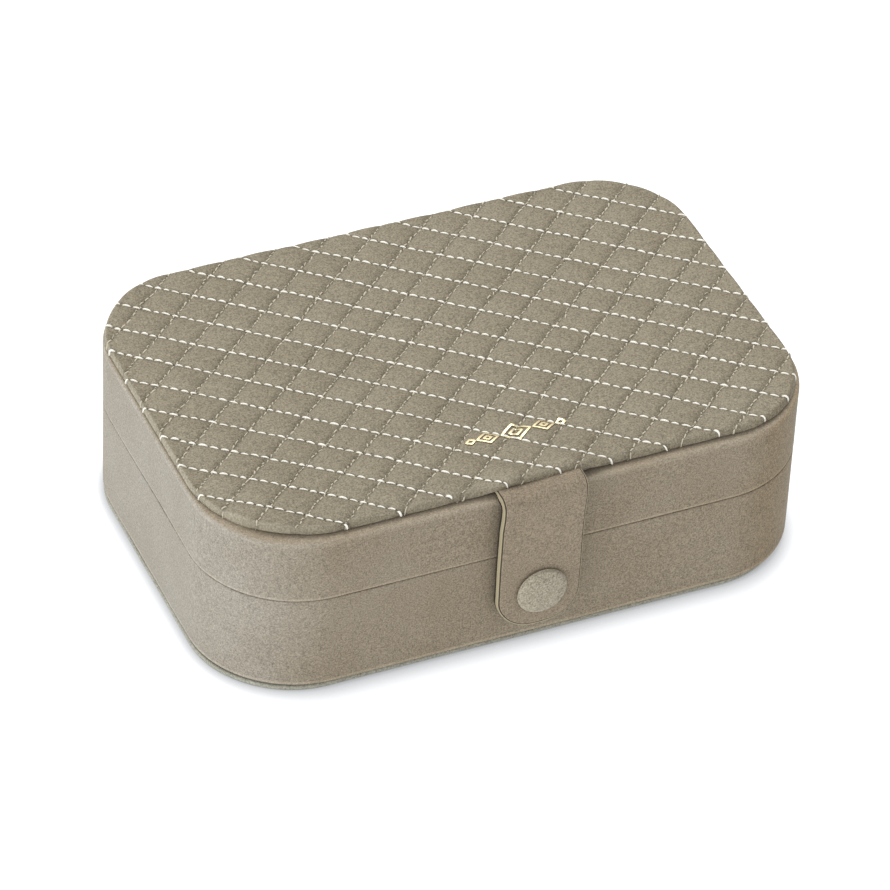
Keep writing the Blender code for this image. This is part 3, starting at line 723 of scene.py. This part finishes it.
def foil_stroke(corners, width, shift=(0, 0), lift=0.09):
    """A closed pressed line through corners, lying on the quilt; all sizes are in millimetres."""
    corners = [(np.array(c) + shift) * MM for c in (*corners, corners[0])]
    path = [corners[0]]
    for a, b in zip(corners, corners[1:]):
        steps = max(2, int(np.linalg.norm(b - a) / (0.3 * MM)))
        path += [a + (b - a) * i / steps for i in range(1, steps + 1)]
    path = np.array(path)
    ahead = np.gradient(path, axis=0)
    ahead[0] = ahead[-1] = path[1] - path[-2]
    ahead /= np.linalg.norm(ahead, axis=1)[:, None]
    side = np.column_stack([-ahead[:, 1], ahead[:, 0]]) * width * MM / 2
    section = ((-1, -0.05), (-0.85, lift), (0.85, lift), (1, -0.05))
    return np.array([[on_quilt(*(p + s * share)) + (0, 0, height * MM) for share, height in section]
                     for p, s in zip(path, side)])


def make_ornament():
    """A plain chain of lozenges in gold foil near the lid's front edge, and a painted shadow round it, set
    off to the lower left.
    """
    middle_x, middle_y = 2.4, -39.0
    lozenges = [(0, 4.3, 3.0), (0, 1.9, 1.3)]  # place along the chain, half width, half height
    for side in (-1, 1):
        lozenges += [(side * 8.4, 3.2, 2.2), (side * 8.4, 1.2, 0.8), (side * 13.5, 1.3, 0.95)]
    strokes = [[(middle_x + along + right * half_x, middle_y + up * half_y)
                for right, up in ((-1, 0), (0, -1), (1, 0), (0, 1))] for along, half_x, half_y in lozenges]
    add_strands("foil_ornament", [foil_stroke(corners, 0.72) for corners in strokes], FOIL, sharp=40)
    # painted shadow: a wider dark stroke under each gold one, shifted to the lower left
    pressed = [foil_stroke(corners, 0.95, shift=(-0.10, -0.28), lift=0.03) for corners in strokes]
    add_strands("foil_painted_shadow", pressed, PAINTED_SHADE, sharp=40)


# ---- closing tab

TAB_HALF = TAB_HIGH.x
TAB_END_R = 11 * MM
TAB_T = 3.0 * MM
TAB_STANDOFF = 4.3 * MM  # of the strap's outer face from the front wall, where it hangs flat
TAB_FLAT_Z = 30 * MM  # it hangs flat below this height
BEND_R = 3.6 * MM
BEND_STANDOFF = 4.6 * MM  # furthest reach of its outer face from the front wall
BEND_TOP = TONGUE_HIGH.z + 1.3 * MM  # the padded strap stands up a little over its glued end
BEND_CENTRE = (-HALF_Y - BEND_STANDOFF + BEND_R, BEND_TOP - BEND_R)  # y, z
BEND_TWIST = 0.06  # how much the bend's right side stands higher than its left, per metre across
TWIST_Z = (42 * MM, 54 * MM)
LEAN = -0.40 * MM  # the hanging strap bows a little to the left
LEAN_END_Z, LEAN_TOP_Z = (12 * MM, 19 * MM), (44 * MM, 51 * MM)  # it comes in and dies out here


def strap_frames(inset):
    """Outer face of the strap from under the quilt to its end: (y, z), inward (y, z), half width.

    inset is how far a layer stays inside the strap's outline.
    """
    frames = []
    side = TAB_HALF - inset
    end_r = TAB_END_R - 1.6 * inset
    run = TONGUE_HIGH.y - BEND_CENTRE[0]
    rise = BEND_TOP - TONGUE_HIGH.z
    for t in np.linspace(0, 1, 16):
        slope = rise * 6 * t * (1 - t) / run
        length = sqrt(1 + slope ** 2)
        frames.append(((TONGUE_HIGH.y - run * t, TONGUE_HIGH.z + rise * smooth_step(0, 1, t)),
                       (-slope / length, -1 / length), side))
    for angle in np.radians(np.linspace(0, 90, 26))[1:]:
        out = (-sin(angle), cos(angle))
        frames.append(((BEND_CENTRE[0] + BEND_R * out[0], BEND_CENTRE[1] + BEND_R * out[1]),
                       (-out[0], -out[1]), side))
    straight_end = TAB_LOW.z + TAB_END_R
    heights = list(np.linspace(BEND_CENTRE[1], straight_end, 34)[1:])
    heights += [straight_end - end_r * sin(radians(a)) for a in np.linspace(4, 90, 22)]
    span = BEND_CENTRE[1] - TAB_FLAT_Z
    reach = BEND_STANDOFF - TAB_STANDOFF
    for z in heights:
        t = min(1.0, max(0.0, (z - TAB_FLAT_Z) / span))
        standoff = TAB_STANDOFF + reach * smooth_step(0, 1, t)
        slope = reach * 6 * t * (1 - t) / span
        length = sqrt(1 + slope ** 2)
        past = max(0.0, straight_end - z)
        half = side - end_r + sqrt(max(0.0, end_r ** 2 - past ** 2))
        frames.append(((-HALF_Y - standoff, z), (1 / length, slope / length), half))
    return frames


def strap_section(half, outer, inner):
    """One layer's cross-section, its long edges rounded, as (x, depth)."""
    corner = min((inner - outer) / 2, 0.35 * MM)
    face = np.linspace(-half + corner, half - corner, 14)[1:-1]
    section = []
    for x, depth, start, straight in ((corner - half, outer + corner, 180, [(x, outer) for x in face]),
                                      (half - corner, outer + corner, 270, []),
                                      (half - corner, inner - corner, 0, [(x, inner) for x in face[::-1]]),
                                      (corner - half, inner - corner, 90, [])):
        section += arc(x, depth, corner, start, start + 90) + straight
    return section


def add_strap_layer(name, outer, inner, narrower, material, slot, *nodes):
    """One layer of the strap between two depths, one piece from under the quilt round the bend to its end."""
    rings = []
    for (y, z), (iy, iz), half in strap_frames(narrower):
        under = smooth_step(-HALF_Y - 0.5 * MM, -HALF_Y + 2 * MM, y)
        squeeze = 1 - 0.5 * under  # the glued end is pressed flat under the panel
        twist = BEND_TWIST * smooth_step(*TWIST_Z, z)
        lean = LEAN * smooth_step(*LEAN_END_Z, z) * (1 - smooth_step(*LEAN_TOP_Z, z))
        section = strap_section(max(half, 0.6 * MM), outer, inner)
        rings.append([(x + lean, y + iy * depth * squeeze, z + iz * depth * squeeze + twist * x)
                      for x, depth in section])
    rings = uneven(rings, 0.05, 14, 11)
    end = rings[-1]
    middle = end.mean(0)
    rings = np.concatenate([rings, (middle + (end - middle) * 0.7 + (0, 0, -0.12 * MM))[None]])
    layer = add_piece(name, rings, material, None, slot, *nodes)
    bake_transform(layer)


def make_tab():
    """Front velvet, a dark line of glue, the pale core whose edge shows, a thick near-black glue layer whose
    edge is painted shadow beside the tab, and the back velvet.
    """
    core, back = 0.45 * MM, TAB_T - 1.0 * MM  # depths of the pale core's two faces
    add_strap_layer("tab_velvet", 0.0, core, 0.62 * MM, TAB, "velvet_tab", "tab_front", "tab_tongue")
    add_strap_layer("tab_glue_line", core - 0.17 * MM, core + 0.1 * MM, 0.32 * MM, SEAM_GLUE, "tab_edge")
    add_strap_layer("tab_pale_core", core, back, 0.0, EDGE, "tab_edge", "tab_core")
    # painted shadow: thick near-black layer whose edge shows as the shadow on the tab's left
    add_strap_layer("tab_back_glue_painted_shade", back - 0.1 * MM, back + 0.9 * MM, 0.0, BACK_GLUE_PAINTED_SHADE, "tab_edge")
    add_strap_layer("tab_back_velvet", back + 0.6 * MM, TAB_T, 0.35 * MM, TAB, "velvet_tab", "tab_backing")


def turned(profile):
    """Rings about the snap's axis; profile is (radius, distance out from the front wall)."""
    low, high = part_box("snap_cap_cover")
    turn = 2 * pi * np.arange(72) / 72
    return [np.column_stack([radius * np.cos(turn), np.full(len(turn), -HALF_Y - out),
                             (low.z + high.z) / 2 + radius * np.sin(turn)]) for radius, out in profile]


def make_snap():
    """Covered button, socket behind the tab and stud on the front wall."""
    low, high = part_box("snap_cap_cover")
    radius = high.x
    base = TAB_STANDOFF + 0.12 * MM
    profile = mm_from(radius, base, (-1.6, 0), (-0.75, 0), (-0.75, 0.3), (-0.15, 0.4), (0, 0.6),
                      (-0.08, 0.75), (-0.35, 1.1))
    edge, crown = profile[-1]
    for angle in np.radians(np.linspace(4, 88, 16)):
        profile.append((edge * cos(angle) ** 0.92, crown + (-HALF_Y - low.y - crown) * sin(angle)))
    add_piece("covered_button", turned(profile), BUTTON, "tab", "button_velvet", "snap_cap_cover", sharp=50)

    back, mouth = TAB_STANDOFF - TAB_T - 0.05 * MM, 0.85 * MM
    profile = mm_from(0, back, (2.0, 0), (4.6, 0), (4.65, -0.10), (4.5, -0.18), (3.8, -0.22))
    profile += mm_from(0, mouth, (3.6, 0.1), (3.4, 0), (2.6, 0), (2.4, 0.12), (2.3, 0.35))
    add_piece("snap_socket_ring", turned(profile), STEEL, "tab", "snap_metal", "snap_socket",
              closed=True, sharp=50)

    profile = mm_from(0, 0, (4.5, -1.0), (4.5, 0), (4.35, 0.12), (4.1, 0.18), (3.4, 0.1), (2.5, 0.1),
                      (2.05, 0.2), (1.95, 0.4), (2.1, 0.55), (1.9, 0.66), (1.4, 0.7), (0.5, 0.7))
    add_piece("snap_stud_disc", turned(profile), STEEL, "case", "snap_metal", "snap_stud", sharp=50)


# ---- fabric hinge


def hinge_heights(name, fold, gap, counts):
    """Heights up both halves of a hinge cloth, closer together within fold of the seam."""
    bottom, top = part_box(f"{name}_lower")[0].z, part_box(f"{name}_upper")[1].z
    return np.concatenate([np.linspace(bottom, SEAM_Z - fold - gap, counts[0]),
                           np.linspace(SEAM_Z - fold, SEAM_Z + fold, counts[1]),
                           np.linspace(SEAM_Z + fold + gap, top, counts[2])])


def add_strip(name, half_x, heights, outer_y, inner_y, material, slot):
    """A strip of cloth across the hinge: outer and inner face as functions of height."""
    rings = [[(x, outer_y(z), z) for z in heights] + [(x, inner_y(z), z) for z in heights[::-1]]
             for x in np.linspace(-half_x, half_x, 60)]
    return add_piece(name, uneven(rings, 0.05, 20, 21), material, None, slot,
                     f"{name}_lower", f"{name}_upper", sharp=60)


def make_hinge():
    """Outer cloth and inner lining, each one sheet across the hinge."""
    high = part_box("hinge_cloth_lower")[1]
    heights = hinge_heights("hinge_cloth", 2.5 * MM, 0.5 * MM, (10, 21, 10))
    bottom, top = heights[0], heights[-1]

    def outer(z):
        ends = min(smooth_step(0, 0.5 * MM, z - bottom), smooth_step(0, 0.5 * MM, top - z))
        groove = 0.18 * MM * bell(z - SEAM_Z, 0.7)
        return high.y + (0.10 + 0.30 * ends) * MM - groove

    cloth = add_strip("hinge_cloth", high.x, heights, outer, lambda z: high.y + 0.02 * MM, SIDE,
                      "velvet_side")
    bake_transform(cloth)

    low, high_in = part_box("hinge_lining_lower")
    heights = hinge_heights("hinge_lining", 6 * MM, 1 * MM, (8, 37, 6))

    def bulge(z):
        return 1.6 * MM * bell(z - SEAM_Z, 2.2)

    lining = add_strip("hinge_lining", high_in.x, heights, lambda z: high_in.y - 0.15 * MM - bulge(z),
                       lambda z: low.y - bulge(z), LINING, "velvet_lining")
    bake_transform(lining)


# ---- base inside


def add_lining(name, rings, body, node_name, closed=False, sharp=None):
    """A piece in the lining's velvet."""
    obj = add_piece(name, rings, LINING, body, "velvet_lining", node_name, closed=closed, sharp=sharp)


def make_base_lining():
    """Velvet round the inside of the walls, and a soft pad on the floor."""
    low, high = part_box("base_wall_lining")
    outer, thick = HALF_X - high.x, 0.6 * MM
    profile = mm_from(outer, low.z, (0, 0)) + mm_from(outer, high.z, (0, -0.2))
    profile += arc(outer + thick / 2, high.z - thick / 2, thick / 2, 180, 0, 6)
    profile += upright(outer + thick, low.z, high.z, np.linspace(0.9, 0, 8))
    add_lining("base_lining", uneven(rings_of(profile), 0.08, 22, 31), "case", "base_wall_lining",
               closed=True)

    low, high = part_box("base_floor_pad")
    inset = HALF_X - high.x
    profile = mm_from(inset, low.z, (3, 0), (0, 0.2))
    profile += mm_from(inset, high.z, (0, -0.5), (0.25, -0.15), (0.8, 0), (12, 0), (30, 0.05))
    add_lining("floor_pad", rings_of(profile), "case", "base_floor_pad")


def make_divider(name, node_name):
    """A wrapped board: rounded top edge, cloth slightly full on its faces."""
    low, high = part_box(node_name)
    along_x = high.x - low.x > high.y - low.y
    half = (high.y - low.y if along_x else high.x - low.x) / 2
    crown = high.z - half
    section = [(-half, low.z)] + upright(-half, low.z, crown, np.linspace(0.1, 1, 8))
    section += arc(0, crown, half, 165, 15, 10) + upright(half, low.z, crown, np.linspace(1, 0, 9))
    start, end = (low.x, high.x) if along_x else (low.y, high.y)
    middle = (low.y + high.y) / 2 if along_x else (low.x + high.x) / 2
    rings = []
    for t in np.linspace(start, end, 60):
        ends = 1 - 0.12 * np.exp(-min(t - start, end - t) / (0.4 * MM))
        ring = [(t, middle + across * ends, z) for across, z in section]
        rings.append(ring if along_x else [(x, y, z) for y, x, z in ring])
    add_lining(name, uneven(rings, 0.10, 18, 41), "case", node_name, sharp=60)


def bay_left(y):
    """Where the inside of the case's left wall is."""
    inside_r = CORNER_R - (HALF_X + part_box("ring_bay_block")[0].x)
    past = max(0.0, abs(y) - (HALF_Y - CORNER_R))
    return -HALF_X + CORNER_R - sqrt(max(inside_r ** 2 - past ** 2, 0.0))


def make_ring_block():
    """Foam block that fills the ring bay under its rolls."""
    low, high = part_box("ring_bay_block")
    rings = []
    for y in (low.y + high.y) / 2 + (high.y - low.y) / 2 * np.sin(np.linspace(-pi / 2, pi / 2, 50)):
        left = bay_left(min(abs(y), HALF_Y - (HALF_X + low.x)))
        rings.append([(left, y, low.z), (high.x, y, low.z), (high.x, y, high.z), (left, y, high.z)])
    add_lining("ring_block", rings, "case", "ring_bay_block", sharp=40)


def make_ring_roll(number):
    """A soft roll: a round back on upright sides, drawn in at its ends."""
    node_name = f"ring_roll_{number}"
    low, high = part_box(node_name)
    radius = (high.y - low.y) / 2 + 0.22 * MM
    middle, mid_z = (low.y + high.y) / 2, (low.z + high.z) / 2
    crown = high.z - radius
    shares = (0.15, 0.4, 0.7, 1.0)
    section = [(middle - radius * 0.9, low.z)] + upright(middle - radius, low.z, crown, shares)
    section += arc(middle, crown, radius, 172, 8, 21)
    section += upright(middle + radius, low.z, crown, shares[::-1]) + [(middle + radius * 0.9, low.z)]
    rings = []
    for t in np.concatenate([[0, 0.006, 0.018, 0.04], np.linspace(0.07, 0.93, 46), [0.96, 0.982, 0.994, 1]]):
        end = min(t, 1 - t) * 58 * MM
        shrink = 1 - 0.10 * np.exp(-end / (0.8 * MM))
        ring = []
        for y, z in section:
            left = bay_left(y) + 0.15 * MM
            x = left + (high.x - 0.1 * MM - left) * t
            ring.append((x, middle + (y - middle) * min(1, shrink + 0.02), mid_z + (z - mid_z) * shrink))
        rings.append(ring)
    rings = uneven(rings, 0.22, 11, 49 + number)
    add_lining(f"ring_roll_soft_{number}", rings, "case", node_name, sharp=60)


# ---- lid inside


def make_lid_lining():
    """Velvet round the inside of the walls, and a soft pad under the lid's board."""
    low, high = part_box("lid_wall_lining")
    outer, thick = HALF_X - high.x, 0.6 * MM
    profile = [(outer, high.z), (outer, low.z + thick / 2)]
    profile += arc(outer + thick / 2, low.z + thick / 2, thick / 2, 180, 360, 6)
    profile += upright(outer + thick, low.z, high.z, np.linspace(0.1, 1, 6))
    add_lining("lid_lining", uneven(rings_of(profile), 0.08, 22, 61), "lid", "lid_wall_lining", closed=True)

    low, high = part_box("lid_ceiling_pad")
    inset = HALF_X - high.x
    profile = mm_from(inset, low.z, (30, 0.02), (12, 0), (0.8, 0), (0.25, 0.15), (0, 0.5))
    profile += mm_from(inset, high.z, (0, 0), (4, 0))
    add_lining("ceiling_pad", rings_of(profile), "lid", "lid_ceiling_pad")


def make_mirror():
    """Velvet-wrapped frame with rounded lips round the silvered glass."""

    def shape(radius):
        return {"half": ((high.x - low.x) / 2, (high.y - low.y) / 2), "radius": radius,
                "centre": ((low.x + high.x) / 2, (low.y + high.y) / 2)}

    low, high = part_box("mirror_frame")
    lip = 5  # mm from the frame's outer edge to the glass
    profile = mm_from(0, high.z, (2.2, 0), (0.1, 0))
    profile += arc(0.8 * MM, low.z + 1.0 * MM, 0.8 * MM, 180, 270)
    profile += mm_from(0, low.z, (1.6, 0.02), (2.6, -0.05), (lip - 0.9, 0.05))
    profile += arc((lip - 0.4) * MM, low.z + 0.4 * MM, 0.4 * MM, 270, 405, 6) + mm_from(0, low.z, (2.2, 0.75))
    add_piece("mirror_bezel", uneven(rings_of(profile, **shape(8 * MM)), 0.08, 16, 71), SIDE,
              "lid", "velvet_lining", "mirror_frame", closed=True)

    low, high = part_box("mirror_glass")
    profile = mm_from(0, high.z, (8, 0), (0, 0)) + mm_from(0, low.z, (0, 0.3), (0.3, 0), (8, 0))
    add_piece("mirror_pane", rings_of(profile, **shape(5.5 * MM)), MIRROR, "lid", "mirror", "mirror_glass",
              sharp=30)


def make_pocket():
    """Gathered pocket: its mouth drawn up on an elastic, folds dying out towards its seams."""
    low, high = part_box("elastic_pocket")
    half = high.x
    depth = high.z - low.z - 0.8 * MM
    mouth, back = low.y, high.y
    phases = np.random.default_rng(81).uniform(-0.9, 0.9, 4)
    folds = 30
    thick = 0.45 * MM
    xs = np.linspace(-half, half, 320)

    def hang(x, y, crimp):
        u = x / half
        v = (y - mouth) / (back - mouth)
        shape = depth * (1 - u ** 4) * (1 - v ** 3)
        phase = folds * pi * u + 1.1 * np.sin(5.1 * u + phases[0])
        phase += 0.8 * np.sin(11 * u + 2.5 * v + phases[1])
        wave = np.sin(phase) * (0.75 + 0.25 * np.sin(7 * u + phases[2]))
        size = crimp * (0.35 + 0.65 * (1 - v) ** 1.2) * (1 - u ** 6) * smooth_step(0, 0.25, 1 - v)
        sag = 0.5 * MM * np.sin(pi * v) * (1 - u ** 2)
        return shape + size * wave + sag

    def cloth(ys, offset, thickness, crimp):
        rings = []
        for y in ys:
            upper = np.column_stack([xs, np.full(len(xs), y), high.z - hang(xs, y, crimp) - offset])
            rings.append(np.concatenate([upper - (0, 0, thickness), upper[::-1]]))
        return rings

    band_low, band_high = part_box("pocket_elastic")
    ys = np.linspace(band_low.y - 0.2 * MM, band_high.y - 0.6 * MM, 8)
    band = add_piece("pocket_band", cloth(ys, thick * 0.9, 0.6 * MM, 0.55 * MM), ELASTIC,
                     "lid", "elastic", "pocket_elastic", sharp=70)
    ys = np.linspace(mouth, back, 34)
    pocket = add_piece("gathered_pocket", cloth(ys, 0.0, thick, 0.75 * MM), POCKET,
                       "lid", "pocket_cloth", "elastic_pocket", sharp=70)


# ---- CAD nodes that stay


def dress_cad_nodes():
    """Hidden boards and snap parts keep their CAD shape and get a real finish."""
    boards = ("base_wall_board", "base_floor_board", "lid_wall_board", "lid_top_board", "mirror_backing")
    for material, names in ((BOARD, boards), (STEEL, ("snap_post", "snap_cap_shell"))):
        for name in names:
            slots = frame["nodes"][name].data.materials
            slots.clear()
            slots.append(material)


# ---- camera, floor and light

CASE_MIDDLE = Vector((0, 0, 30 * MM))


def make_camera():
    """A long lens from the front left, a little rolled, as a product shot is framed."""
    azimuth, elevation, roll = radians(-25.17), radians(39.54), radians(3.0)
    target, distance = Vector((-0.00037, 0.00014, 0.02134)), 1.4940
    back = Vector((sin(azimuth) * cos(elevation), -cos(azimuth) * cos(elevation), sin(elevation)))
    right = Vector((cos(azimuth), sin(azimuth), 0))
    up = back.cross(right)
    rolled_right = right * cos(roll) + up * sin(roll)
    rolled_up = up * cos(roll) - right * sin(roll)
    data = bpy.data.cameras.new("camera")
    data.sensor_width = 36
    data.lens = 213.6
    data.clip_start, data.clip_end = 0.05, 50
    matrix = Matrix((rolled_right, rolled_up, back)).transposed().to_4x4()
    matrix.translation = target + back * distance
    camera = add_object("camera", data)
    camera.matrix_world = matrix
    bpy.context.scene.camera = camera


def make_light(name, place, size, power):
    """A soft round lamp turned towards the case."""
    data = bpy.data.lights.new(name, "AREA")
    data.shape = "DISK"
    data.size = size
    data.energy = power
    light = add_object(name, data)
    light.location = place
    light.rotation_mode = "QUATERNION"
    light.rotation_quaternion = (CASE_MIDDLE - Vector(place)).to_track_quat("-Z", "Y")


def white_floor_painted_shadow():
    """White that glows, with a painted contact shadow: ambient occlusion dims colour and glow close to the
    case, less far out on its left.
    """
    material = bpy.data.materials.new("white_floor_painted_shadow")
    material.use_nodes = True
    tree = material.node_tree
    place = node(tree, "ShaderNodeNewGeometry").outputs["Position"]
    place = node(tree, "ShaderNodeSeparateXYZ", Vector=place).outputs["X"]
    reach = node(tree, "ShaderNodeMapRange", Value=place, From_Min=-92 * MM, From_Max=-60 * MM,
                 To_Min=4 * MM, To_Max=7.5 * MM).outputs["Result"]
    # painted contact shadow: ambient occlusion dims both the colour and the glow
    clear = node(tree, "ShaderNodeAmbientOcclusion", {"samples": 12}, Distance=reach).outputs["AO"]
    clear = calc(tree, "POWER", clear, 0.75)
    set_inputs(tree, tree.nodes["Principled BSDF"], Roughness=0.9,
               Base_Color=blend_colours(tree, clear, rgba((0, 0, 0)), rgba((0.426, 0.435, 0.452))),
               Emission_Color=rgba((0.96, 0.975, 0.99)),
               Emission_Strength=calc(tree, "MULTIPLY", clear, 0.85))
    return material


def make_studio():
    """White sweep under soft lights."""
    reach = 6.0
    corners = [(-reach, -reach, 0), (reach, -reach, 0), (reach, reach, 0), (-reach, reach, 0)]
    floor = add_mesh("floor", corners, [(0, 1, 2, 3)], white_floor_painted_shadow())
    floor.location.z = -0.05 * MM

    world = bpy.data.worlds.new("studio")
    world.use_nodes = True
    set_inputs(world.node_tree, world.node_tree.nodes["Background"], Color=rgba((1, 1, 1)), Strength=0.713)
    bpy.context.scene.world = world
    make_light("left_fill", (-1.6, -0.5, 0.30), 1.0, 11.5)
    make_light("key_behind", (0.45, 0.75, 1.6), 0.9, 16.1)
    bpy.context.scene.view_settings.view_transform = "Standard"
    bpy.context.scene.view_settings.look = "None"


# ---- build

make_camera()
make_studio()
make_walls()
make_quilted_panel()
make_stitching("quilt_stitches_bright", ROWS_BRIGHT, THREAD, length=2.3 * MM, gap=0.5 * MM,
               radius=0.30 * MM, jitter=0.22, sink=0.0, seed=91)
make_stitching("quilt_stitches_fine", ROWS_FINE, FINE_THREAD_PAINTED_SHADE, length=1.5 * MM, gap=0.3 * MM,
               radius=0.20 * MM, jitter=0.5, sink=0.05 * MM, seed=92)
make_ornament()
make_tab()
make_snap()
make_hinge()
make_base_lining()
for part in ("long", "cross", "short"):
    make_divider(f"{part}_wall", f"{part}_divider")
make_ring_block()
for number in range(1, 8):
    make_ring_roll(number)
make_lid_lining()
make_mirror()
make_pocket()
dress_cad_nodes()
